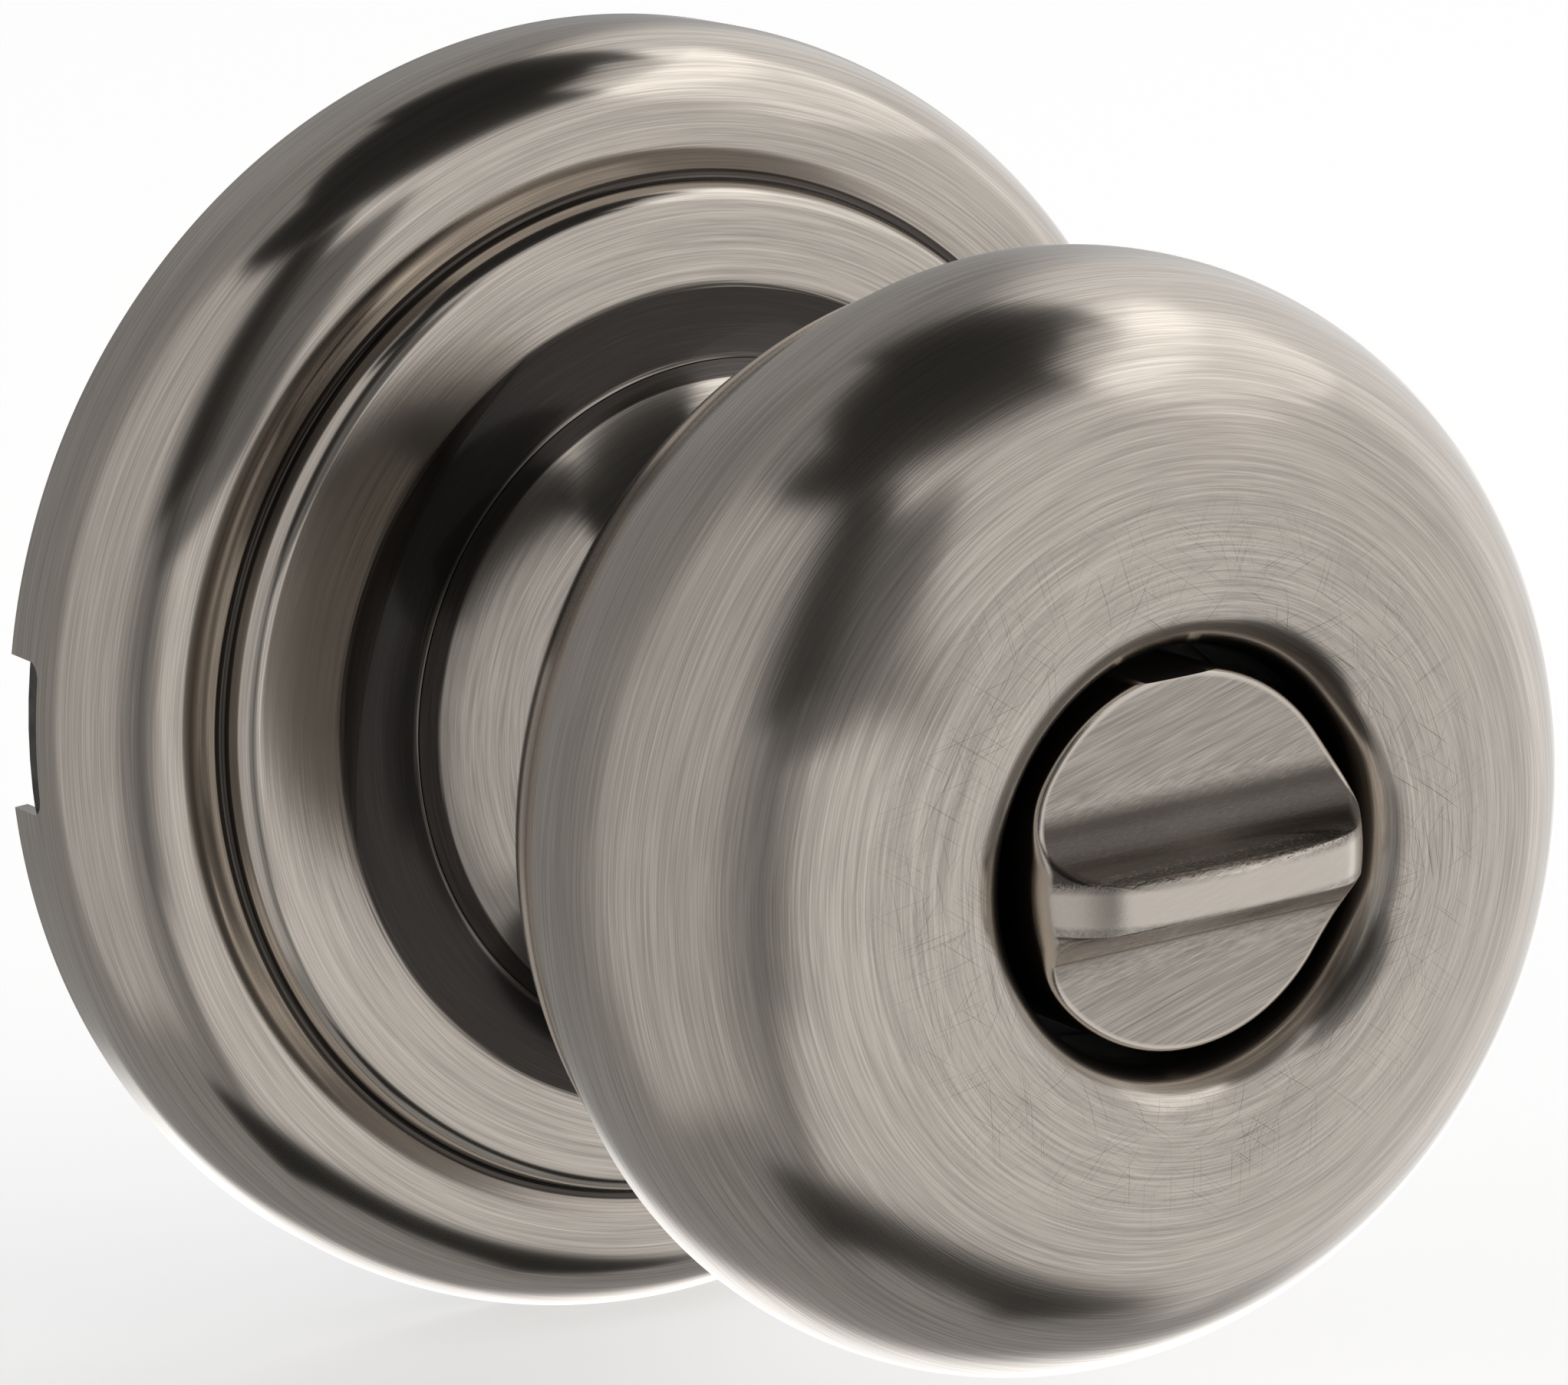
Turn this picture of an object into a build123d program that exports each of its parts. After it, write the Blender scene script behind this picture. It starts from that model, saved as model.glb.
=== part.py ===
"""Inside half of a privacy door knob: a stepped round rose on its mounting plate, a hollow
two-shell knob that turns against a return spring, and a turn button in the knob's face.

Frame: origin on the knob's axis at the door face, +Z up, the knob points to -Y, the door
lies at +Y.  In the profiles r is the distance from the axis and h the height off the door.
"""
from build123d import *
from math import asin, atan, cos, degrees, radians, sin, sqrt, tan
import os

os.makedirs("parts", exist_ok=True)

# ---- driving dimensions, mm -------------------------------------------------------------
running_gap = 0.05        # radial clearance of a shaft in its hole
seat_gap = 0.04           # clearance between pieces pressed or crimped together
open_gap = 0.25           # clearance between pieces that turn past each other
axial_gap = 0.10          # end play beside rings and washers

rose_d = 66.7
rose_wall = 0.7
rose_side = 2.3           # straight side before the shoulder
rose_shoulder = 6.72
lip_tilt = 16.0           # where the shoulder meets the lip
lip_round = 0.85
groove_tilt = 50.0        # the lip's inner side
groove_round = 0.5
groove_h = 7.67
step_tilt = 72.0
step_r = 24.46            # centre circle of the rounded step inside the groove
step_h = 9.1
step_round = 1.3
dish_tilt = 14.0          # slope of the dish between the step and the neck
dish_end_tilt = 36.0
dish_round = 10.0
rose_hole_r = 17.75
notch_w = 7.7
notch_depth = 3.0
notch_round = 0.9

plate_t = 1.5
plate_rim_h = 4.2
plate_rim_t = 1.2
plate_lip_h = -1.0        # end of the bearing lip behind the plate
register_d = 53.0         # ring that centres the plate in the door's 54 mm bore
register_t = 1.4
register_depth = 4.0
screw_spacing = 38.0
screw_d = 4.16
screw_shank_d = 3.6       # unthreaded, from the head to the plate's back
screw_hole_d = 4.8
screw_head_d = 7.6
screw_head_h = 2.4
screw_length = 21.5

housing_r = 12.9
housing_wall = 0.9
housing_h = 7.8           # height of the cup above the plate
housing_flange_w = 2.3
housing_head_gap = 0.5    # reliefs in the flange round the screw heads
rivet_out = 3.1           # rivets' circle outside the housing's wall
rivet_d = 2.4
rivet_head_d = 4.0
rivet_head_h = 0.8
rivet_count = 3
bushing_r = 8.7
bushing_flange_r = 9.7
bushing_flange_t = 1.0
bushing_l = 1.7           # below the flange

sleeve_r = 7.2            # the part of the drive sleeve that runs in the bearings
sleeve_bore_r = 5.4
sleeve_flat = 6.2         # half distance across the sleeve's two driving flats
sleeve_end_h = -6.0
neck_sleeve_r = 8.6       # the part of the drive sleeve that carries the knob
neck_sleeve_bore_r = 6.0
sleeve_step = 1.5         # thickness of the sleeve's shoulder
socket_flat = 3.2         # distance of the half-round socket's flat from the axis
socket_depth = 7.0
washer_t = 0.7
washer_r = 10.5
ring_t = 0.9
ring_r = 9.6
ring_groove_depth = 0.5

driver_gap = 0.4          # above and below the driver
driver_t = 1.2
driver_r = 8.9
lug_gap = 0.6             # between the lugs and the housing's wall
lug_t = 1.0
lug_angle = 14.0          # angle that a lug covers
turn_limit = 60.0         # how far the knob turns each way
stop_tab_t = 1.2
stop_tab_w = 1.5
stop_tab_spare = 0.8      # degrees left past the turn limit
tab_length = 2.6
spring_wire_d = 1.1
spring_leg_gap = 0.45     # between the legs and the housing's wall
spring_leg_step = 1.15    # legs' circle outside the coils' circle
spring_turns = 3

knob_r = 26.55
knob_rise = 29.13         # from the rose's hole to the knob's widest circle
knob_front = 14.6         # from the widest circle to the crown of the face
knob_side_round = 11.8
knob_wall = 0.8
crimp_tilt = 97.0
button_r = 8.85
button_gap = 0.85         # round the button, in the face's hole
face_hole_r = button_r + button_gap
face_hole_round = 3.3
face_tube_end = 3.6       # above the widest circle
back_side_round = 13.5
back_tilt = 140.0
back_round = 30.0
back_end_tilt = 152.0
crimp_overlap = 1.6
throat_r = 12.25
neck_tilt = 58.0
neck_low_round = 5.5
pin_hole_d = 3.0

core_socket_depth = 3.8   # counterbore that holds the button's housing
core_low_rise = 3.63      # above the rose's hole
core_web_drop = 5.4       # below the widest circle
core_web_t = 2.0
core_head_wall = 2.4
core_cavity_r = 10.0

catch_rise = 8.43         # above the rose's hole
catch_w = 4.0
catch_t = 3.0
catch_travel = 1.3
catch_foot_t = 0.7
catch_foot_w = 6.4
catch_foot_l = 5.0
leaf_t = 0.3
leaf_w = 3.0
leaf_bend_l = 4.6
leaf_anchor_l = 3.4

button_lift = 0.9         # between the housing and the button's underside
button_side = 14.1        # height of the finger bar's ends above the widest circle
button_angle = 4.0        # the finger bar stands this far from horizontal
bar_half_w = 1.2
scoop_depth = 2.8         # from the finger bar's ends to the scoops' flat floor
scoop_round = 4.0         # hollow between the bar and the scoop's flat floor
stem_r = 3.4
stem_tail_l = 1.2         # below the clip
stem_flat_depth = 0.3
rod_r = 2.4
rod_end_h = -4.5
rod_pin_r = 1.95
rod_pin_l = 10.0
blade_slot_w = 1.4
blade_slot_l = 4.0
blade_slot_depth = 9.0
button_floor_t = 1.5
housing_tube_gap = 0.5    # between the housing and the front shell's tube
button_boss_l = 6.2
button_nose_r = 5.4
button_nose_l = 1.4
clip_t = 0.7
clip_r = 5.4
clip_groove_depth = 0.45
clip_mouth_w = 5.0
detent_t = 0.35
detent_w = 3.2
detent_l = 13.0


def at(r, h):
    """A profile point in the plane that is revolved about the axis."""
    return (r, -h)


def across(h):
    """The plane square to the axis at height h, drawn with +X right and +Z up."""
    return Plane(origin=(0, -h, 0), x_dir=(1, 0, 0), z_dir=(0, -1, 0))


class Skin:
    """The outer outline of a thin-walled turned form: straight runs and tangent bends.

    tilt is the angle from the axis to the surface's normal: 0 faces the room, 90 faces
    away from the axis and 180 faces the door.  A bend's radius is negative in a hollow.
    """

    def __init__(self, r, h, tilt):
        self.r, self.h, self.tilt = r, h, tilt
        self.bends = [(r, h, 0.0, tilt, tilt)]

    def normal(self):
        return sin(radians(self.tilt)), cos(radians(self.tilt))

    def run(self, length):
        """Go straight on, towards the room where the surface faces away from the axis."""
        nr, nh = self.normal()
        self.r, self.h = self.r - length * nh, self.h + length * nr
        self.bends.append((self.r, self.h, 0.0, self.tilt, self.tilt))

    def run_to_r(self, r):
        self.run((self.r - r) / self.normal()[1])

    def bend(self, radius, tilt):
        nr, nh = self.normal()
        centre_r, centre_h = self.r - radius * nr, self.h - radius * nh
        self.bends.append((centre_r, centre_h, radius, self.tilt, tilt))
        self.tilt = tilt
        nr, nh = self.normal()
        self.r, self.h = centre_r + radius * nr, centre_h + radius * nh

    def pieces(self, inset):
        """Start, middle and end of each bend, moved in from the surface by inset."""
        found = []
        for centre_r, centre_h, radius, first, last in self.bends:
            reach = radius - inset
            found.append([
                at(centre_r + reach * sin(radians(a)), centre_h + reach * cos(radians(a)))
                for a in (first, (first + last) / 2, last)
            ])
        return found

    def draw(self, inset=0.0, backwards=False):
        """Add the outline to the open BuildLine and return its two ends."""
        pieces = self.pieces(inset)
        if backwards:
            pieces = [piece[::-1] for piece in pieces[::-1]]
        last = None
        for start, middle, end in pieces:
            if last is not None and (Vector(*start) - Vector(*last)).length > 1e-6:
                Line(last, start)
            if (Vector(*end) - Vector(*start)).length > 1e-6:
                ThreePointArc(start, middle, end)
            last = end
        return pieces[0][0], last

    def shell(self, wall):
        """Add the closed outline of the skin's wall to the open BuildLine."""
        first, last = self.draw()
        back, front = self.draw(wall, backwards=True)
        Line(last, back)
        Line(front, first)


def save(part, name):
    part.part.label = name
    export_step(part.part, f"parts/{name}.step")


# ---- sizes that follow from the driving ones --------------------------------------------
rose_r = rose_d / 2
rose_inner_r = rose_r - rose_wall
shoulder_r = rose_r - rose_shoulder
plate_rim_r = shoulder_r - seat_gap + sqrt(
    (rose_shoulder - rose_wall) ** 2 - (plate_rim_h - rose_side) ** 2
)
neck_foot_r = rose_hole_r - open_gap
sleeve_shoulder_h = plate_t + housing_h + bushing_flange_t + axial_gap
driver_low_h = plate_t + driver_gap
spring_low_h = driver_low_h + driver_t + driver_gap
washer_top_h = plate_lip_h - axial_gap
ring_top_h = washer_top_h - washer_t - axial_gap
housing_flange_r = housing_r + housing_flange_w
rivet_circle_r = housing_r + rivet_out
lug_r = housing_r - housing_wall - lug_gap
spring_leg_r = housing_r - housing_wall - spring_leg_gap - spring_wire_d / 2
spring_coil_r = spring_leg_r - spring_leg_step
lug_half_w = lug_r * sin(radians(lug_angle / 2))
leg_angle = lug_angle / 2 + degrees(atan(spring_wire_d / 2 / spring_leg_r)) + 0.6

# ---- rose: one stamping with a rolled shoulder, a groove, a step and a dish --------------
rose_skin = Skin(rose_r, 0, 90)
rose_skin.run(rose_side)
rose_skin.bend(rose_shoulder, lip_tilt)
rose_skin.bend(lip_round, -groove_tilt)
groove_start_h = groove_h + groove_round * (1 - cos(radians(groove_tilt)))
rose_skin.run((rose_skin.h - groove_start_h) / sin(radians(groove_tilt)))
rose_skin.bend(-groove_round, step_tilt)
step_foot_h = step_h + step_round * cos(radians(step_tilt))
rose_skin.run((step_foot_h - rose_skin.h) / sin(radians(step_tilt)))
rose_skin.bend(step_round, dish_tilt)
dish_drop = dish_round * (sin(radians(dish_end_tilt)) - sin(radians(dish_tilt)))
rose_skin.run_to_r(rose_hole_r + dish_drop)
rose_skin.bend(-dish_round, dish_end_tilt)
rose_hole_h = rose_skin.h

with BuildPart() as rose:
    with BuildSketch(Plane.XY):
        with BuildLine():
            rose_skin.shell(rose_wall)
        make_face()
    revolve(axis=Axis.Y)
    # pry notch in the rim, on the left
    with BuildSketch(Plane.YZ.offset(-rose_r - 1)):
        RectangleRounded(2 * notch_depth, notch_w, notch_round)
    extrude(amount=1 + 3 * rose_wall, mode=Mode.SUBTRACT)
save(rose, "rose")

# ---- heights in the knob, counted from the rose's hole -----------------------------------
knob_mid_h = rose_hole_h + knob_rise
catch_h = rose_hole_h + catch_rise
core_low_h = rose_hole_h + core_low_rise
core_web_h = knob_mid_h - core_web_drop
face_tube_end_h = knob_mid_h + face_tube_end
flange_top_h = face_tube_end_h - housing_tube_gap
core_seat_h = flange_top_h - button_floor_t
core_top_h = core_seat_h + core_socket_depth
button_boss_low_h = core_seat_h - button_boss_l
button_nose_low_h = button_boss_low_h - button_nose_l
detent_h = (button_boss_low_h + core_seat_h) / 2
clip_top_h = button_nose_low_h - axial_gap
stem_end_h = clip_top_h - clip_t - stem_tail_l

# ---- mounting plate: lies on the door under the rose ------------------------------------
with BuildPart() as mounting_plate:
    with BuildSketch(Plane.XY):
        with BuildLine():
            Polyline(
                at(sleeve_r + running_gap, plate_lip_h),
                at(sleeve_r + running_gap, plate_t),
                at(plate_rim_r - plate_rim_t, plate_t),
                at(plate_rim_r - plate_rim_t, plate_rim_h),
                at(plate_rim_r, plate_rim_h),
                at(plate_rim_r, 0),
                at(register_d / 2, 0),
                at(register_d / 2, -register_depth),
                at(register_d / 2 - register_t, -register_depth),
                at(register_d / 2 - register_t, 0),
                at(sleeve_r + running_gap + plate_t, 0),
                at(sleeve_r + running_gap + plate_t, plate_lip_h),
                close=True,
            )
        make_face()
    revolve(axis=Axis.Y)
    # screw holes and rivet holes
    with BuildSketch(across(0)):
        with GridLocations(screw_spacing, 0, 2, 1):
            Circle(screw_hole_d / 2)
        with PolarLocations(rivet_circle_r, rivet_count, start_angle=90):
            Circle(rivet_d / 2 + seat_gap)
    extrude(amount=plate_t, mode=Mode.SUBTRACT)
    # stop tabs bent up beside the driver's nose
    corner_r = sqrt((lug_r - stop_tab_t) ** 2 + (stop_tab_w / 2) ** 2)
    stop_angle = turn_limit + stop_tab_spare
    stop_angle += degrees(asin(lug_half_w / corner_r) + asin(stop_tab_w / 2 / corner_r))
    with BuildSketch(across(plate_t)):
        for side in (-1, 1):
            with PolarLocations(lug_r - stop_tab_t / 2, 1, start_angle=90 + side * stop_angle):
                Rectangle(stop_tab_t, stop_tab_w)
    extrude(amount=driver_low_h + driver_t - plate_t)
save(mounting_plate, "mounting_plate")

# ---- mounting screws: two pan-head machine screws that clamp the plate to the door -------
with BuildPart() as mounting_screws:
    with BuildSketch(across(plate_t)):
        with GridLocations(screw_spacing, 0, 2, 1):
            Circle(screw_head_d / 2)
    extrude(amount=screw_head_h)
    fillet(mounting_screws.faces().sort_by(Axis.Y)[:2].edges(), screw_head_h * 0.6)
    with BuildSketch(across(plate_t)):
        with GridLocations(screw_spacing, 0, 2, 1):
            Circle(screw_shank_d / 2)
    extrude(amount=-plate_t)
    with BuildSketch(across(0)):
        with GridLocations(screw_spacing, 0, 2, 1):
            Circle(screw_d / 2)
    extrude(amount=plate_t - screw_length)
    with BuildSketch(across(plate_t + screw_head_h)):
        with GridLocations(screw_spacing, 0, 2, 1):
            Rectangle(screw_head_d * 0.55, 1.0)
            Rectangle(1.0, screw_head_d * 0.55)
    extrude(amount=-screw_head_h * 0.6, mode=Mode.SUBTRACT)
save(mounting_screws, "mounting_screws")

# ---- spring housing: a cup riveted to the plate, with a tab between the spring's legs ----
with BuildPart() as spring_housing:
    with BuildSketch(Plane.XY):
        with BuildLine():
            Polyline(
                at(housing_r - housing_wall, plate_t),
                at(housing_r - housing_wall, plate_t + housing_h - housing_wall),
                at(bushing_r + seat_gap, plate_t + housing_h - housing_wall),
                at(bushing_r + seat_gap, plate_t + housing_h),
                at(housing_r, plate_t + housing_h),
                at(housing_r, plate_t + housing_wall),
                at(housing_flange_r, plate_t + housing_wall),
                at(housing_flange_r, plate_t),
                close=True,
            )
        make_face()
    revolve(axis=Axis.Y)
    with BuildSketch(across(plate_t)):
        with PolarLocations(rivet_circle_r, rivet_count, start_angle=90):
            Circle(rivet_head_d / 2 + 1)
            with Locations((-rivet_head_d / 2, 0)):
                Rectangle(rivet_head_d, rivet_head_d + 2)
        Circle(housing_r, mode=Mode.SUBTRACT)
    extrude(amount=housing_wall)
    with BuildSketch(across(plate_t)):
        with PolarLocations(rivet_circle_r, rivet_count, start_angle=90):
            Circle(rivet_d / 2 + seat_gap)
        with GridLocations(screw_spacing, 0, 2, 1):
            Circle(screw_head_d / 2 + housing_head_gap)
    extrude(amount=housing_wall, mode=Mode.SUBTRACT)
    # spring tab, hanging from the top between the spring's legs
    with BuildSketch(across(plate_t + housing_h - housing_wall)):
        with Locations((0, -spring_leg_r)):
            Rectangle(2 * spring_leg_r * sin(radians(lug_angle / 2)), lug_t)
    extrude(amount=-tab_length)
save(spring_housing, "spring_housing")

with BuildPart() as housing_rivets:
    with BuildSketch(across(plate_t + housing_wall)):
        with PolarLocations(rivet_circle_r, rivet_count, start_angle=90):
            Circle(rivet_head_d / 2)
    extrude(amount=rivet_head_h)
    fillet(housing_rivets.faces().sort_by(Axis.Y)[:rivet_count].edges(), rivet_head_h * 0.6)
    with BuildSketch(across(plate_t + housing_wall)):
        with PolarLocations(rivet_circle_r, rivet_count, start_angle=90):
            Circle(rivet_d / 2)
    extrude(amount=-plate_t - housing_wall)
save(housing_rivets, "housing_rivets")

# ---- bushing: the bearing for the drive sleeve, pressed in the housing's top -------------
with BuildPart() as housing_bushing:
    with BuildSketch(Plane.XY):
        with BuildLine():
            Polyline(
                at(sleeve_r + running_gap, plate_t + housing_h - bushing_l),
                at(sleeve_r + running_gap, plate_t + housing_h + bushing_flange_t),
                at(bushing_flange_r, plate_t + housing_h + bushing_flange_t),
                at(bushing_flange_r, plate_t + housing_h),
                at(bushing_r, plate_t + housing_h),
                at(bushing_r, plate_t + housing_h - bushing_l),
                close=True,
            )
        make_face()
    revolve(axis=Axis.Y)
save(housing_bushing, "housing_bushing")

# ---- return spring: coils round the sleeve, two legs either side of the lug and the tab ---
spring_pitch = spring_wire_d + 0.06
spring_rise = spring_pitch * (spring_turns - leg_angle / 180)
leg_low_h = spring_low_h + spring_wire_d / 2
with BuildPart() as coil:
    with BuildLine() as coil_line:
        Helix(
            spring_pitch,
            spring_rise,
            spring_coil_r,
            center=(0, -leg_low_h, 0),
            direction=(0, -1, 0),
        )
    with BuildSketch(Plane(coil_line.line @ 0, z_dir=coil_line.line % 0)):
        Circle(spring_wire_d / 2)
    sweep(path=coil_line.line)
    for end, side in ((coil_line.line @ 0, -1), (coil_line.line @ 1, 1)):
        outward = Vector(end.X, 0, end.Z).normalized()
        corner = end + outward * (spring_leg_r - spring_coil_r)
        with Locations(Plane(end, z_dir=outward)):
            Cylinder(
                spring_wire_d / 2,
                spring_leg_r - spring_coil_r,
                align=(Align.CENTER, Align.CENTER, Align.MIN),
            )
        with Locations(end, corner):
            Sphere(spring_wire_d / 2)
        with Locations(Plane(corner, z_dir=(0, side, 0))):
            Cylinder(
                spring_wire_d / 2, spring_rise, align=(Align.CENTER, Align.CENTER, Align.MIN)
            )
with BuildPart() as return_spring:
    add(coil.part, rotation=(0, leg_angle, 0))
save(return_spring, "return_spring")

# ---- drive sleeve: turned tube with two flats, a half-round socket and the catch window ---
with BuildPart() as drive_sleeve:
    with BuildSketch(Plane.XY):
        with BuildLine():
            groove_r = sleeve_r - ring_groove_depth
            Polyline(
                at(sleeve_bore_r, sleeve_end_h),
                at(sleeve_bore_r, sleeve_shoulder_h + sleeve_step),
                at(neck_sleeve_bore_r, sleeve_shoulder_h + sleeve_step),
                at(neck_sleeve_bore_r, stem_end_h),
                at(neck_sleeve_r, stem_end_h),
                at(neck_sleeve_r, sleeve_shoulder_h),
                at(sleeve_r, sleeve_shoulder_h),
                at(sleeve_r, ring_top_h),
                at(groove_r, ring_top_h),
                at(groove_r, ring_top_h - ring_t),
                at(sleeve_r, ring_top_h - ring_t),
                at(sleeve_r, sleeve_end_h),
                close=True,
            )
        make_face()
    revolve(axis=Axis.Y)
    # driving flats, from the door end up to the driver
    with BuildSketch(across(sleeve_end_h)):
        Circle(sleeve_r + 1)
        Rectangle(2 * sleeve_r + 2, 2 * sleeve_flat, mode=Mode.SUBTRACT)
    extrude(amount=driver_low_h + driver_t - sleeve_end_h, mode=Mode.SUBTRACT)
    # half-round socket for the spindle of the outside half
    with BuildSketch(across(sleeve_end_h)):
        Circle(sleeve_bore_r)
        with Locations((0, -socket_flat)):
            Rectangle(
                2 * sleeve_bore_r,
                2 * sleeve_bore_r,
                align=(Align.CENTER, Align.MIN),
                mode=Mode.SUBTRACT,
            )
    extrude(amount=socket_depth)
    # window for the knob catch, on the underside
    with BuildSketch(Plane.XY):
        with Locations(at(0, catch_h)):
            Rectangle(catch_w + 2 * running_gap, catch_t + 2 * running_gap)
    extrude(amount=-neck_sleeve_r - 1, mode=Mode.SUBTRACT)
save(drive_sleeve, "drive_sleeve")


def half_lug(side):
    """A lug on the driver's rim, at the bottom (-1) or the top (1)."""
    with Locations((0, side * lug_r / 2)):
        Rectangle(2 * lug_half_w, lug_r)


# ---- spring driver: keyed on the sleeve's flats, one lug for the spring, one for the stops
with BuildPart() as spring_driver:
    with BuildSketch(across(driver_low_h)):
        Circle(driver_r)
        half_lug(-1)
        half_lug(1)
        Circle(lug_r, mode=Mode.INTERSECT)
        with BuildSketch(mode=Mode.SUBTRACT):
            Circle(sleeve_r + seat_gap)
            Rectangle(2 * sleeve_r + 2, 2 * (sleeve_flat + seat_gap), mode=Mode.INTERSECT)
    extrude(amount=driver_t)
    with BuildSketch(across(driver_low_h + driver_t)):
        with Locations((0, -spring_leg_r)):
            Rectangle(2 * spring_leg_r * sin(radians(lug_angle / 2)), lug_t)
        Circle(lug_r, mode=Mode.INTERSECT)
    extrude(amount=spring_rise / 2 + 0.6)
save(spring_driver, "spring_driver")

# ---- thrust washer and retaining ring on the sleeve's door end ---------------------------
with BuildPart() as thrust_washer:
    with BuildSketch(across(washer_top_h)):
        Circle(washer_r)
        Circle(sleeve_r + running_gap, mode=Mode.SUBTRACT)
    extrude(amount=-washer_t)
save(thrust_washer, "thrust_washer")

with BuildPart() as retaining_ring:
    with BuildSketch(across(ring_top_h)):
        Circle(ring_r)
        Circle(sleeve_r - ring_groove_depth + seat_gap, mode=Mode.SUBTRACT)
        with Locations((ring_r, 0)):
            Rectangle(ring_r, sleeve_r, mode=Mode.SUBTRACT)
    extrude(amount=-ring_t)
save(retaining_ring, "retaining_ring")

# ---- front shell: drawn cap with the face, the hole's rolled lip and its inner tube ------
side_centre_r = knob_r - knob_side_round
half_turn = atan((knob_front - knob_side_round) / side_centre_r)
crown_round = knob_side_round + side_centre_r / sin(2 * half_turn)
face_tilt = degrees(asin((face_hole_r + face_hole_round) / (crown_round - face_hole_round)))

front_skin = Skin(
    side_centre_r + knob_side_round * sin(radians(crimp_tilt)),
    knob_mid_h + knob_side_round * cos(radians(crimp_tilt)),
    crimp_tilt,
)
crimp_r, crimp_h = front_skin.r, front_skin.h
front_skin.bend(knob_side_round, degrees(2 * half_turn))
front_skin.bend(crown_round, face_tilt)
front_skin.bend(face_hole_round, -90)
front_skin.run(front_skin.h - face_tube_end_h)
with BuildPart() as knob_front_shell:
    with BuildSketch(Plane.XY):
        with BuildLine():
            front_skin.shell(knob_wall)
        make_face()
    revolve(axis=Axis.Y)
save(knob_front_shell, "knob_front_shell")

# ---- back shell: drawn ball back, throat and flared foot ---------------------------------
back_rim_r = crimp_r - knob_wall - seat_gap
back_skin = Skin(back_rim_r, crimp_h + crimp_overlap, 90)
back_skin.run(-crimp_overlap)
back_skin.bend(back_side_round, back_tilt)
back_skin.bend(back_round, back_end_tilt)
back_skin.bend(-(back_skin.r - throat_r) / (1 - sin(radians(back_end_tilt))), 90)
throat_top_h = back_skin.h
neck_foot_h = rose_hole_h + open_gap * tan(radians(dish_end_tilt))
neck_low_drop = neck_low_round * (1 - sin(radians(neck_tilt)))
foot_sweep = sin(radians(neck_tilt)) - sin(radians(dish_end_tilt))
foot_round = (neck_foot_r - throat_r - neck_low_drop) / foot_sweep
foot_rise = foot_round * (cos(radians(dish_end_tilt)) - cos(radians(neck_tilt)))
throat_low_h = neck_foot_h + foot_rise + neck_low_round * cos(radians(neck_tilt))
back_skin.run(throat_low_h - throat_top_h)
back_skin.bend(-neck_low_round, neck_tilt)
back_skin.bend(-foot_round, dish_end_tilt)
with BuildPart() as knob_back_shell:
    with BuildSketch(Plane.XY):
        with BuildLine():
            back_skin.shell(knob_wall)
        make_face()
    revolve(axis=Axis.Y)
    # pin hole on the underside, over the catch
    with BuildSketch(Plane.XY):
        with Locations(at(0, catch_h)):
            Circle(pin_hole_d / 2)
    extrude(amount=-knob_r, mode=Mode.SUBTRACT)
save(knob_back_shell, "knob_back_shell")

# ---- core: die casting that joins both shells to the drive sleeve ------------------------
core_bore_r = neck_sleeve_r + seat_gap
core_hub_r = throat_r - knob_wall - seat_gap
core_socket_r = face_hole_r + knob_wall + seat_gap
core_head_r = core_socket_r + core_head_wall
back_centre_r = back_rim_r - back_side_round
web_r = back_centre_r - seat_gap + sqrt(
    (back_side_round - knob_wall) ** 2 - (crimp_h - core_web_h) ** 2
)
with BuildPart() as knob_core:
    with BuildSketch(Plane.XY):
        with BuildLine():
            Polyline(
                at(core_bore_r, core_low_h),
                at(core_bore_r, stem_end_h + axial_gap),
                at(core_cavity_r, stem_end_h + axial_gap),
                at(core_cavity_r, core_seat_h),
                at(core_socket_r, core_seat_h),
                at(core_socket_r, core_top_h),
                at(core_head_r, core_top_h),
                at(core_head_r, core_web_h),
                at(core_hub_r, core_web_h - core_head_wall),
                at(core_hub_r, core_low_h),
                close=True,
            )
        make_face()
    revolve(axis=Axis.Y)
    # web with lightening holes, seated in the back shell
    with BuildSketch(across(core_web_h)):
        Circle(web_r)
        Circle(core_head_r - core_head_wall / 2, mode=Mode.SUBTRACT)
        with PolarLocations((core_head_r + web_r) / 2, 6):
            Circle((web_r - core_head_r) * 0.32, mode=Mode.SUBTRACT)
    extrude(amount=core_web_t)
    # slot for the catch, on the underside
    with BuildSketch(Plane.XY):
        with Locations(at(0, catch_h)):
            Rectangle(catch_w + 2 * running_gap, catch_t + 2 * running_gap)
    extrude(amount=-core_head_r, mode=Mode.SUBTRACT)
save(knob_core, "knob_core")

# ---- knob catch: sprung lug that holds the knob on the sleeve; pressed in, it lets go ----
catch_reach_r = neck_sleeve_r + catch_travel
foot_face_r = sqrt((neck_sleeve_bore_r - running_gap) ** 2 - (catch_foot_w / 2) ** 2)
with BuildPart() as knob_catch:
    with BuildSketch(Plane.XY.offset(-foot_face_r)):
        with Locations(at(0, catch_h)):
            Rectangle(catch_foot_w, catch_foot_l)
    extrude(amount=catch_foot_t)
    with BuildSketch(Plane.XY.offset(-foot_face_r)):
        with Locations(at(0, catch_h)):
            Rectangle(catch_w, catch_t)
    extrude(amount=foot_face_r - catch_reach_r)
    fillet(knob_catch.faces().sort_by(Axis.Z)[0].edges(), 0.3)
save(knob_catch, "knob_catch")

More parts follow.
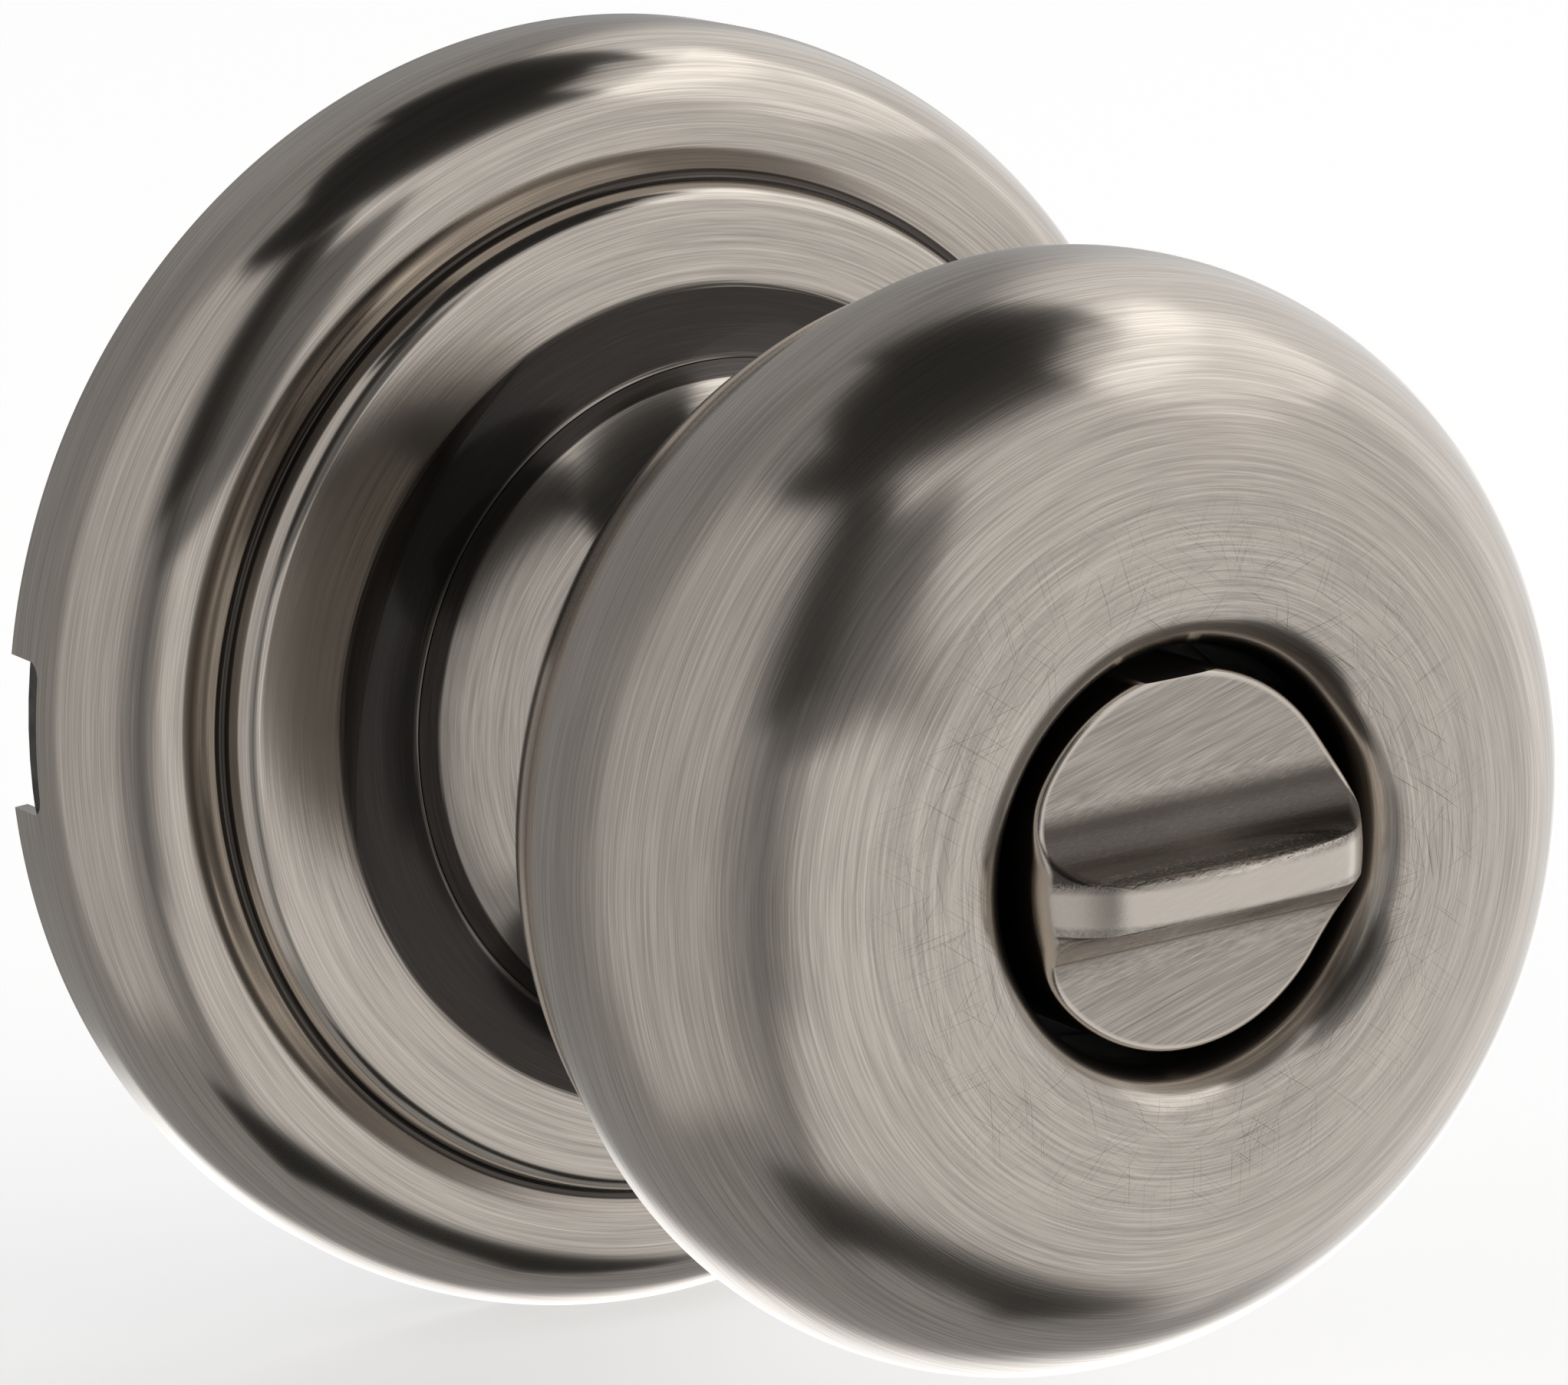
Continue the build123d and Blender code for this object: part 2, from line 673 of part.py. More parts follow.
# ---- catch spring: bent leaf, anchored on the sleeve's inner wall ------------------------
leaf_press_r = foot_face_r - catch_foot_t - seat_gap
leaf_wall_r = sqrt((neck_sleeve_bore_r - running_gap) ** 2 - (leaf_w / 2) ** 2)
leaf_end_h = catch_h + catch_foot_l / 2
with BuildPart() as catch_spring:
    with BuildSketch(Plane.YZ.offset(-leaf_w / 2)):
        with BuildLine():
            FilletPolyline(
                (-(catch_h - catch_foot_l / 2), -leaf_press_r),
                (-leaf_end_h, -leaf_press_r),
                (-(leaf_end_h + leaf_bend_l), -leaf_wall_r),
                (-(leaf_end_h + leaf_bend_l + leaf_anchor_l), -leaf_wall_r),
                radius=1.5,
            )
            offset(amount=leaf_t, side=Side.RIGHT)
        make_face()
    extrude(amount=leaf_w)
save(catch_spring, "catch_spring")

# ---- button housing: moulded bearing for the turn button, seated in the core -------------
button_bore_r = stem_r + running_gap
boss_r = core_cavity_r - seat_gap
with BuildPart() as button_housing:
    with BuildSketch(Plane.XY):
        with BuildLine():
            Polyline(
                at(button_bore_r, button_nose_low_h),
                at(button_bore_r, flange_top_h),
                at(core_socket_r - seat_gap, flange_top_h),
                at(core_socket_r - seat_gap, core_seat_h),
                at(boss_r, core_seat_h),
                at(boss_r, button_boss_low_h),
                at(button_nose_r, button_boss_low_h),
                at(button_nose_r, button_nose_low_h),
                close=True,
            )
        make_face()
    revolve(axis=Axis.Y)
    # slot for the detent spring, open to the bore
    with BuildSketch(across(detent_h - detent_w / 2)):
        with Locations((0, button_bore_r)):
            Rectangle(detent_l, detent_t + 2 * seat_gap, align=(Align.CENTER, Align.MIN))
    extrude(amount=detent_w, mode=Mode.SUBTRACT)
save(button_housing, "button_housing")

with BuildPart() as detent_spring:
    with BuildSketch(across(detent_h - detent_w / 2 + seat_gap)):
        with Locations((0, button_bore_r + seat_gap)):
            Rectangle(
                detent_l - 2 * seat_gap, detent_t, align=(Align.CENTER, Align.MIN)
            )
    extrude(amount=detent_w - 2 * seat_gap)
save(detent_spring, "detent_spring")

# ---- turn button: casting with a finger bar between two scoops, and its stem -------------
button_side_h = knob_mid_h + button_side
scoop_floor_h = button_side_h - scoop_depth
bar_wall_h = scoop_floor_h + scoop_round
bar_crest_h = bar_wall_h + bar_half_w
crown_drop = bar_crest_h - button_side_h
crown_r = (button_r**2 + crown_drop**2) / (2 * crown_drop)
with BuildPart() as level_button:
    with BuildSketch(Plane.XY):
        with BuildLine():
            Polyline(
                at(0, bar_crest_h),
                at(0, stem_end_h + rod_pin_l),
                at(rod_pin_r + seat_gap, stem_end_h + rod_pin_l),
                at(rod_pin_r + seat_gap, stem_end_h),
                at(stem_r, stem_end_h),
                at(stem_r, clip_top_h - clip_t),
                at(stem_r - clip_groove_depth, clip_top_h - clip_t),
                at(stem_r - clip_groove_depth, clip_top_h),
                at(stem_r, clip_top_h),
                at(stem_r, flange_top_h + button_lift),
                at(button_r, flange_top_h + button_lift),
                at(button_r, button_side_h),
            )
            RadiusArc(at(button_r, button_side_h), at(0, bar_crest_h), crown_r)
        make_face()
    revolve(axis=Axis.Y)
    # the two scoops leave the finger bar standing across the middle
    scoop_plane = Plane(origin=(-button_r, 0, 0), x_dir=(0, 0, 1), z_dir=(1, 0, 0))
    with BuildSketch(scoop_plane):
        with Locations((0, scoop_floor_h)):
            Rectangle(2 * button_r, button_r, align=(Align.CENTER, Align.MIN))
        with BuildSketch(mode=Mode.SUBTRACT):
            with Locations((0, scoop_floor_h)):
                Rectangle(
                    2 * (bar_half_w + scoop_round),
                    scoop_round,
                    align=(Align.CENTER, Align.MIN),
                )
            with Locations((0, bar_wall_h)):
                with GridLocations(2 * (bar_half_w + scoop_round), 0, 2, 1):
                    Circle(scoop_round, mode=Mode.SUBTRACT)
                Circle(bar_half_w)
    extrude(amount=2 * button_r, mode=Mode.SUBTRACT)
    # flats on the stem that the detent spring drops onto, a quarter turn apart
    for angle in (0, 90):
        with BuildSketch(across(detent_h - detent_w / 2)):
            with PolarLocations(stem_r - stem_flat_depth, 1, start_angle=angle):
                Rectangle(2 * stem_r, 2 * stem_r, align=(Align.MIN, Align.CENTER))
        extrude(amount=detent_w, mode=Mode.SUBTRACT)
with BuildPart() as turn_button:
    add(level_button.part, rotation=(0, -button_angle, 0))
save(turn_button, "turn_button")

# ---- locking stem: rod pressed into the button, slotted at its end for the latch blade ---
with BuildPart() as locking_stem:
    with BuildSketch(across(rod_end_h)):
        Circle(rod_r)
    extrude(amount=stem_end_h - seat_gap - rod_end_h)
    with BuildSketch(across(stem_end_h - seat_gap)):
        Circle(rod_pin_r)
    extrude(amount=rod_pin_l)
    with BuildSketch(across(rod_end_h)):
        Rectangle(blade_slot_l, blade_slot_w, rotation=button_angle)
    extrude(amount=blade_slot_depth, mode=Mode.SUBTRACT)
save(locking_stem, "locking_stem")

# ---- button clip: spring steel E-clip in the stem's groove, under the housing's nose -----
clip_inner_r = stem_r - clip_groove_depth + seat_gap
clip_lobe_r = (clip_inner_r + clip_r) / 2
with BuildPart() as button_clip:
    with BuildSketch(across(clip_top_h - clip_t + seat_gap)):
        Circle(clip_r)
        Circle(clip_inner_r, mode=Mode.SUBTRACT)
        with PolarLocations(clip_lobe_r, 2, start_angle=-30, angular_range=240):
            Circle((clip_r - clip_inner_r) * 0.3, mode=Mode.SUBTRACT)
        with Locations((0, clip_r)):
            Rectangle(clip_mouth_w, 2 * clip_r, mode=Mode.SUBTRACT)
    extrude(amount=clip_t - 2 * seat_gap)
save(button_clip, "button_clip")
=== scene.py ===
"""The privacy door knob's looks: antique nickel rose, knob and turn button on their steel,
zinc and brass works.  Metres; the knob's axis is Y and the door lies at +Y.
"""
import math

import bmesh
import bpy
from mathutils import Matrix, Vector


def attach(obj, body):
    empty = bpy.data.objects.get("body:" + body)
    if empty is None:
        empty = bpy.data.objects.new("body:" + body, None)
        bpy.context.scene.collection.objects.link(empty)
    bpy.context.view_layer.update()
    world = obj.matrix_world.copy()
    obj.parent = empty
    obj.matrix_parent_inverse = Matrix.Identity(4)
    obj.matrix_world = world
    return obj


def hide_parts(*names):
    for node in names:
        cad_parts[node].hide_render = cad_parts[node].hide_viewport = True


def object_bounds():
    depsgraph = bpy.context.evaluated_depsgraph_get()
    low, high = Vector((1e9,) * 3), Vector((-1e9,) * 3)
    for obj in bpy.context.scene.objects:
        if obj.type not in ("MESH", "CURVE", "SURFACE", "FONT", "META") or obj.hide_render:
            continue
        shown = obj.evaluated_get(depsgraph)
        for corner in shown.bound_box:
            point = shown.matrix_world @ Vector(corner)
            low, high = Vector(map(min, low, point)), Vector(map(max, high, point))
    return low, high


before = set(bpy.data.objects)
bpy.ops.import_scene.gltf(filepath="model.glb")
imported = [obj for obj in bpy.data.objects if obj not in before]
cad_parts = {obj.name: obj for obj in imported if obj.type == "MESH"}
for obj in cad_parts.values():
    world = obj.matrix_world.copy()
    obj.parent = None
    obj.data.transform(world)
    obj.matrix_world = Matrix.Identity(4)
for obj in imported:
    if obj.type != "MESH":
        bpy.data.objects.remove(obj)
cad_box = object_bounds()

# ---- camera ------------------------------------------------------------------------------
# A long lens, a little above the knob and to its left, looking at the middle of the knob.
view_turn, view_rise = math.radians(-31.42), math.radians(11.74)
view_distance = 0.356
view_target = Vector((0.0080, -0.0053, -0.0016))
toward = Vector((
    math.sin(view_turn) * math.cos(view_rise),
    -math.cos(view_turn) * math.cos(view_rise),
    math.sin(view_rise),
))
camera = bpy.data.objects.new("camera", bpy.data.cameras.new("camera"))
camera.data.lens = 158.5
camera.data.sensor_width = 36
camera.data.clip_start = 0.01
camera.location = view_target + toward * view_distance
camera.rotation_euler = toward.to_track_quat("Z", "Y").to_euler()
bpy.context.scene.collection.objects.link(camera)
bpy.context.scene.camera = camera


# ---- studio ------------------------------------------------------------------------------
# A white tent, open at the top and towards the camera, so that dark gaps show in the polished
# metal; a pale table under it, and one large lamp over the right shoulder.
class Wire:
    """A node's output; arithmetic on wires adds Math nodes."""

    def __init__(self, tree, socket=None):
        self.tree, self.socket = tree, socket

    def node(self, kind, settings=None, values=None, output=0):
        made = self.tree.nodes.new(kind)
        for key, value in (settings or {}).items():
            setattr(made, key, value)
        for key, value in (values or {}).items():
            if isinstance(value, Wire):
                self.tree.links.new(value.socket, made.inputs[key])
            else:
                made.inputs[key].default_value = value
        return Wire(self.tree, made.outputs[output] if made.outputs else None)

    def math(self, operation, first, second=0.0):
        return self.node("ShaderNodeMath", {"operation": operation}, {0: first, 1: second})

    def __add__(self, other):
        return self.math("ADD", self, other)

    def __radd__(self, other):
        return self.math("ADD", other, self)

    def __sub__(self, other):
        return self.math("SUBTRACT", self, other)

    def __rsub__(self, other):
        return self.math("SUBTRACT", other, self)

    def __mul__(self, other):
        return self.math("MULTIPLY", self, other)

    def __rmul__(self, other):
        return self.math("MULTIPLY", other, self)

    def __truediv__(self, other):
        return self.math("DIVIDE", self, other)

    def __rtruediv__(self, other):
        return self.math("DIVIDE", other, self)

    def __abs__(self):
        return self.math("ABSOLUTE", self)

    def smallest(self, other):
        return self.math("MINIMUM", self, other)

    def largest(self, other):
        return self.math("MAXIMUM", self, other)

    def step(self, low, high):
        """0 below low, 1 above high, and smooth between them."""
        return self.node(
            "ShaderNodeMapRange",
            {"interpolation_type": "SMOOTHSTEP"},
            {"Value": self, "From Min": low, "From Max": high},
        )

    def parts(self):
        made = self.tree.nodes.new("ShaderNodeSeparateXYZ")
        self.tree.links.new(self.socket, made.inputs[0])
        return [Wire(self.tree, made.outputs[i]) for i in range(3)]

    def joined(self, x, y, z):
        return self.node("ShaderNodeCombineXYZ", None, {0: x, 1: y, 2: z})


studio = bpy.data.worlds.new("studio")
bpy.context.scene.world = studio
studio.use_nodes = True
studio.node_tree.nodes.clear()
air = Wire(studio.node_tree)
sky = air.node("ShaderNodeTexCoord", output="Generated")
sky_x, sky_y, sky_z = sky.parts()
sky_turn = air.math("ARCTAN2", sky_x, 0 - sky_y) * (180 / math.pi)
sky_rise = air.math("ARCSINE", sky_z) * (180 / math.pi)


def cloth(turn, rise, half_w, half_h, edge):
    """1 inside a panel that hangs round the table at this turn and height, in degrees."""
    away = abs(sky_turn - turn)
    away = away.smallest(360 - away)
    across = 1 - away.step(half_w - edge, half_w + edge)
    return across * (1 - abs(sky_rise - rise).step(half_h - edge, half_h + edge))


# How much each lit panel adds and how dark each gap is, then the cloth's own five numbers.
lit_cloths = (
    (0.46, 34, 2, 66, 58, 4),
    (0.26, -86, 4, 30, 53, 5),
    (0.58, 118, 12, 24, 54, 9),
    (1.10, 152, -30, 24, 24, 8),
    (0.42, 78, 57, 36, 9, 3),
)
gaps = (
    (1.00, -35, 36, 14, 22, 3),
    (0.55, -33, -6, 9, 22, 4),
    (0.85, -20, 26, 20, 20, 2),
    (0.35, -38, -42, 5, 18, 3),
    (1.00, -28, 74, 73, 17, 2.5),
    (1.00, 140, 75, 48, 14, 2.5),
    (1.00, 5, -67, 72, 9, 2.5),
)
bare_cloth, gap_darkness, open_top = 0.34, 0.92, (67, 70)
tent = bare_cloth
for glow, *panel in lit_cloths:
    tent = tent + glow * cloth(*panel)
dark = sky_rise.step(*open_top)
for share, *panel in gaps:
    dark = dark.largest(share * cloth(*panel))
tent = tent * (1 - gap_darkness * dark) * (1 - 0.12 * cloth(-150, 15, 20, 45, 8))
white = air.node("ShaderNodeLightPath", output="Is Camera Ray")
shade = air.node("ShaderNodeBackground", None, {"Color": (1, 1, 1, 1), "Strength": tent})
plain = air.node("ShaderNodeBackground", None, {"Color": (1, 1, 1, 1), "Strength": 1.0})
seen = air.node("ShaderNodeMixShader", None, {0: white, 1: shade, 2: plain})
air.node("ShaderNodeOutputWorld", None, {"Surface": seen})

table_mesh = bpy.data.meshes.new("table")
reach, table_h = 3.0, cad_box[0].z
table_mesh.from_pydata(
    [(-reach, -reach, table_h), (reach, -reach, table_h),
     (reach, reach, table_h), (-reach, reach, table_h)], [], [(0, 1, 2, 3)]
)
table = bpy.data.objects.new("table", table_mesh)
bpy.context.scene.collection.objects.link(table)
table.visible_glossy = False
pale = bpy.data.materials.new("pale_table")
pale.use_nodes = True
pale.node_tree.nodes.clear()
board = Wire(pale.node_tree)
board_skin = board.node(
    "ShaderNodeBsdfPrincipled", None,
    {"Base Color": (0.93, 0.93, 0.925, 1), "Roughness": 0.9, "Specular IOR Level": 0.1,
     "Emission Color": (1, 1, 1, 1), "Emission Strength": 0.54},
)
board.node("ShaderNodeOutputMaterial", None, {"Surface": board_skin})
table_mesh.materials.append(pale)

lamp_data = bpy.data.lights.new("lamp", "AREA")
lamp_data.shape, lamp_data.size, lamp_data.size_y = "RECTANGLE", 0.9, 0.6
lamp_data.energy = 0.6
lamp = bpy.data.objects.new("lamp", lamp_data)
lamp.location = (0.75, -0.25, 0.80)
lamp.rotation_euler = lamp.location.to_track_quat("Z", "Y").to_euler()
bpy.context.scene.collection.objects.link(lamp)
bpy.context.scene.view_settings.view_transform = "Standard"


# ---- rose --------------------------------------------------------------------------------
# One disc of steel stamped and spun: rolled shoulder and lip, a groove, a rounded step and
# the dish that the neck stands in.  It snaps over the plate; a notch lets a blade lift it.
MM = 0.001


class Outline:
    """A sheet's outer outline from its rim to its hole, drawn as runs and bends.

    lean is the angle from the axis to the surface's normal: 0 faces the room, 90 faces
    away from the axis.  Sizes in mm; a bend's radius is negative in a hollow.
    """

    def __init__(self, r, h, lean):
        self.r, self.h, self.lean = r, h, lean
        self.bends = [(r, h, 0.0, lean, lean)]

    def normal(self):
        return math.sin(math.radians(self.lean)), math.cos(math.radians(self.lean))

    def run(self, length):
        nr, nh = self.normal()
        self.r, self.h = self.r - length * nh, self.h + length * nr
        self.bends.append((self.r, self.h, 0.0, self.lean, self.lean))

    def run_to_r(self, r):
        self.run((self.r - r) / self.normal()[1])

    def bend(self, radius, lean):
        nr, nh = self.normal()
        middle_r, middle_h = self.r - radius * nr, self.h - radius * nh
        self.bends.append((middle_r, middle_h, radius, self.lean, lean))
        self.lean = lean
        nr, nh = self.normal()
        self.r, self.h = middle_r + radius * nr, middle_h + radius * nh

    def points(self, inset=0.0):
        """(r, h) along the outline moved in by inset, close together round the bends."""
        widest_turn, longest_arc, longest_run = 2.5, 0.45, 1.5
        found = []
        for middle_r, middle_h, radius, first, last in self.bends:
            reach = radius - inset
            arc = abs(math.radians(last - first) * radius)
            steps = max(1, math.ceil(abs(last - first) / widest_turn),
                        math.ceil(arc / longest_arc))
            for k in range(steps + 1):
                a = math.radians(first + (last - first) * k / steps)
                found.append((middle_r + reach * math.sin(a), middle_h + reach * math.cos(a)))
        thinned = [found[0]]
        for point in found[1:]:
            start = thinned[-1]
            run = math.dist(start, point)
            if run > 1e-5:
                steps = math.ceil(run / longest_run)
                thinned += [
                    (start[0] + (point[0] - start[0]) * k / steps,
                     start[1] + (point[1] - start[1]) * k / steps)
                    for k in range(1, steps + 1)
                ]
        return thinned


def finish_mesh(name, verts, faces, crease=35):
    """A shaded mesh object; lathed pieces have local Z along the axis, into the room."""
    mesh = bpy.data.meshes.new(name)
    mesh.from_pydata([(x * MM, y * MM, z * MM) for x, y, z in verts], [], faces)
    shape = bmesh.new()
    shape.from_mesh(mesh)
    bmesh.ops.remove_doubles(shape, verts=shape.verts, dist=1e-7)
    bmesh.ops.recalc_face_normals(shape, faces=shape.faces)
    shape.to_mesh(mesh)
    shape.free()
    mesh.shade_smooth()
    mesh.set_sharp_from_angle(angle=math.radians(crease))
    piece = bpy.data.objects.new(name, mesh)
    piece.rotation_euler = (math.pi / 2, 0, 0)
    bpy.context.scene.collection.objects.link(piece)
    return piece


def lathe(name, outline):
    """Revolve a closed outline of (r, h) points about the axis."""
    turns, count = 480, len(outline)
    verts, faces = [], []
    for t in range(turns):
        c, s = math.cos(2 * math.pi * t / turns), math.sin(2 * math.pi * t / turns)
        verts += [(r * c, r * s, h) for r, h in outline]
    for t in range(turns):
        a, b = t * count, (t + 1) % turns * count
        for k in range(count):
            n = (k + 1) % count
            faces.append((a + k, b + k, b + n, a + n))
    return finish_mesh(name, verts, faces)


def new_skin(name):
    """An empty material and the wire that its nodes grow from."""
    made = bpy.data.materials.new(name)
    made.use_nodes = True
    made.node_tree.nodes.clear()
    return made, Wire(made.node_tree)


def antique_nickel(name, satin, grain, patina_and_shade_rings=(), scratched=None, along=None, toned=0.0,
                   beside=(), worn=None):
    """Nickel plate, blackened, brushed back on the lathe and lacquered.

    satin is the brushed metal's roughness and grain how deep its strokes are;
    patina_and_shade_rings are (r, h, width, ring_black) in mm of turned-in rings of black,
    thickest where ring_black passes 1: some are the black patina left in hollows, and some are
    painted shade laid on as black; scratched is the (inner, outer) r in mm of a ring of fine
    hand scratches; along is the unit vector that a piece is brushed along when it isn't
    turned; toned is how much black stays all over; beside is (low, high, fade) in mm of black
    bands beside a bar that lies along X; worn is the r of an edge that is polished bare, the r
    of the black side below it, and the low and high side of the bar's polished crest, in mm.
    """
    made, w = new_skin(name)
    place = w.node("ShaderNodeTexCoord", output="Object")
    x, y, h = place.parts()
    r = w.math("SQRT", x * x + y * y)
    if along is None:
        round_x, round_y = x / r.largest(1e-5), y / r.largest(1e-5)
    else:
        across_bar = x * -along[1] + y * along[0]
        along_bar = x * along[0] + y * along[1]

    def strokes(length, width, seed):
        """Brush lines: length in degrees round the axis, width in mm; shorter along a bar."""
        if along is None:
            radian = 57
            lane = w.joined(round_x * (radian / length), round_y * (radian / length),
                            r * (1000 / width))
            rise = h * (1000 / width) + seed
        else:
            lane = w.joined(along_bar * (3600 / length), across_bar * (1100 / width),
                            h * (1100 / width))
            rise = seed
        return w.node(
            "ShaderNodeTexNoise", {"noise_dimensions": "4D"},
            {"Vector": lane, "W": rise, "Scale": 1.0, "Detail": 2.0, "Roughness": 0.6},
        )

    fine = strokes(12, 0.065, 3.1)
    middle = strokes(28, 0.17, 7.7)
    broad = strokes(70, 0.8, 1.3)
    cloud = w.node(
        "ShaderNodeTexNoise", None,
        {"Vector": place, "Scale": 90.0, "Detail": 3.0, "Roughness": 0.55},
    )
    brushed = 0.52 * fine + 0.34 * middle + 0.14 * broad
    black = (0.56 - brushed).step(-0.13, 0.24) * 0.50 + toned + (cloud - 0.5) * 0.16
    # Rings of black: patina left in the hollows, and painted shade where a caller places it.
    for ring_r, ring_h, width, ring_black in patina_and_shade_rings:
        off_r, off_h = r - ring_r * MM, h - ring_h * MM
        off = w.math("SQRT", off_r * off_r + off_h * off_h) * (1 / (width * MM))
        off = off + (middle - 0.5) * 0.4
        black = black.largest((1 - off.step(0.70, 1.0)) * (ring_black + 0.5 * fine))
    for low, high, fade in beside:
        over = y * 1000 + (fine - 0.5) * 1.2 * fade
        band = over.step(low - 0.25, low + 0.25) * (1 - over.step(high - fade, high + fade))
        black = black.largest(band * (0.85 + 0.4 * fine))
    lines = None
    if scratched:
        inner_r, outer_r = scratched
        for turn, seed in ((0.35, 2.0), (1.05, 9.0), (1.75, 4.0), (2.55, 6.0)):
            c, s = math.cos(turn), math.sin(turn)
            hair = w.node(
                "ShaderNodeTexNoise", {"noise_dimensions": "3D"},
                {"Vector": w.joined((x * c + y * s) * 170, (y * c - x * s) * 21000, seed),
                 "Scale": 1.0, "Detail": 1.0, "Roughness": 0.5},
            )
            hair = hair.step(0.66, 0.74)
            lines = hair if lines is None else lines.largest(hair)
        ring = r.step(inner_r * MM, (inner_r + 1) * MM)
        ring = ring * (1 - r.step(inner_r * 1.25 * MM, outer_r * MM))
        lines = lines * ring
        black = black + lines * 0.5
    if worn:
        edge_r, side_r, crest_low, crest_high = worn
        edge = r.step((edge_r - 0.1) * MM, (edge_r + 0.1) * MM)
        over = y * 1000
        crest = over.step(crest_low - 0.15, crest_low + 0.15)
        crest = crest * (1 - over.step(crest_high - 0.15, crest_high + 0.15))
        black = black * (1 - edge.largest(0.85 * crest))
        black = black.largest(1.15 * r.step((side_r - 0.04) * MM, (side_r - 0.01) * MM))
    deep = (black - 0.9).step(0.0, 0.5)
    black = black.largest(0.0).smallest(1.0)
    tone = w.node(
        "ShaderNodeMix", {"data_type": "RGBA"},
        {0: black, 6: (0.67, 0.607, 0.537, 1), 7: (0.105, 0.088, 0.075, 1)}, output=2,
    )
    tone = w.node(
        "ShaderNodeMix", {"data_type": "RGBA"},
        {0: deep, 6: tone, 7: (0.032, 0.027, 0.024, 1)}, output=2,
    )
    rough = satin + 0.12 * black + 0.3 * satin * (fine - 0.5)
    dents = brushed if lines is None else brushed - 0.35 * lines
    bump = w.node(
        "ShaderNodeBump", None, {"Strength": grain, "Distance": 0.00004, "Height": dents}
    )
    skin = w.node(
        "ShaderNodeBsdfPrincipled", None,
        {"Base Color": tone, "Metallic": 1.0, "Roughness": rough, "Normal": bump,
         "Anisotropic": 0.75, "Anisotropic Rotation": 0.25,
         "Coat Weight": 0.35, "Coat Roughness": 0.05, "Coat IOR": 1.5},
    )
    w.node("ShaderNodeOutputMaterial", None, {"Surface": skin})
    return made


rose_r, rose_wall, rose_side, rose_hole_r = 33.35, 0.7, 2.3, 17.54
shoulder_round, shoulder_lean, lip_round, lip_lean = 6.72, 16, 2.5, -14
groove_side, groove_round, step_foot, step_round, step_lean = 26.30, 0.3, 9.1, 1.3, 72
dish_lean, dish_round, dish_hole_lean = 14, 10, 36
rose_line = Outline(rose_r, 0, 90)
rose_line.run(rose_side)
rose_line.bend(shoulder_round, shoulder_lean)
rose_line.bend(lip_round, lip_lean)
rose_line.run_to_r(groove_side)
groove_r, groove_h = rose_line.r, rose_line.h
rose_line.bend(-groove_round, step_lean)
rose_line.run(
    (step_foot + step_round * math.cos(math.radians(step_lean)) - rose_line.h)
    / math.sin(math.radians(step_lean))
)
rose_line.bend(step_round, dish_lean)
rose_line.run_to_r(rose_hole_r + dish_round * (
    math.sin(math.radians(dish_hole_lean)) - math.sin(math.radians(dish_lean))
))
rose_line.bend(-dish_round, dish_hole_lean)

notch_w, notch_depth, notch_round, notch_band_h = 7.7, 3.0, 0.9, 3.8


def rim_cut(side):
    """How high the notch cuts into the rim at this distance from its middle."""
    past = abs(side) - (notch_w / 2 - notch_round)
    if past <= 0:
        return notch_depth
    if past >= notch_round:
        return 0.0
    return notch_depth - notch_round + math.sqrt(notch_round**2 - past**2)


def rim_rows(inset, low):
    """The rim's outline from the height low up to the top of the notch's band."""
    rows, found = 12, []
    for k in range(rows + 1):
        h = low + (notch_band_h - low) * k / rows
        over = max(0.0, h - rose_side)
        bend_r = shoulder_round - inset
        found.append((rose_r - shoulder_round + math.sqrt(bend_r**2 - over**2), h))
    return found


turns = [2 * math.pi * t / 360 for t in range(360)]
for k in range(15):
    past = notch_w / 2 - notch_round * (1 - math.sin(math.pi / 2 * k / 14))
    for s in (-1, 1):
        turns.append(math.pi + s * math.asin(past / rose_r))
notch_end = math.asin(notch_w / 2 / rose_r) + 0.0004
turns += [math.pi + s * notch_end for s in (-1, 1)]
turns = sorted(set(round(t, 6) for t in turns))
top_out = [p for p in rose_line.points() if p[0] < rim_rows(0, 0)[-1][0] - 0.05]
top_in = [p for p in rose_line.points(rose_wall)
          if p[0] < rim_rows(rose_wall, 0)[-1][0] - 0.05 and p[1] > notch_band_h - rose_wall]
verts, faces = [], []
for t in turns:
    low = rim_cut((t - math.pi) * rose_r)
    ring = rim_rows(0, low) + top_out + top_in[::-1] + rim_rows(rose_wall, low)[::-1]
    verts += [(r * math.cos(t), r * math.sin(t), h) for r, h in ring]
count = len(ring)
for k in range(len(turns)):
    a, b = k * count, (k + 1) % len(turns) * count
    faces += [(a + i, b + i, b + (i + 1) % count, a + (i + 1) % count) for i in range(count)]
rose = finish_mesh("rose_stamping", verts, faces)
# The groove ring is the black patina left in the groove; the wide ring in the dish round the
# neck's foot is partly black left in that corner and partly painted shade.
rose.data.materials.append(
    antique_nickel("antique_nickel_rose", 0.10, 0.04,
                   patina_and_shade_rings=((groove_r - 0.25, groove_h + 0.1, 0.45, 0.9), (19.2, 11.9, 2.3, 1.1)))
)
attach(rose, "chassis")
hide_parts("rose")


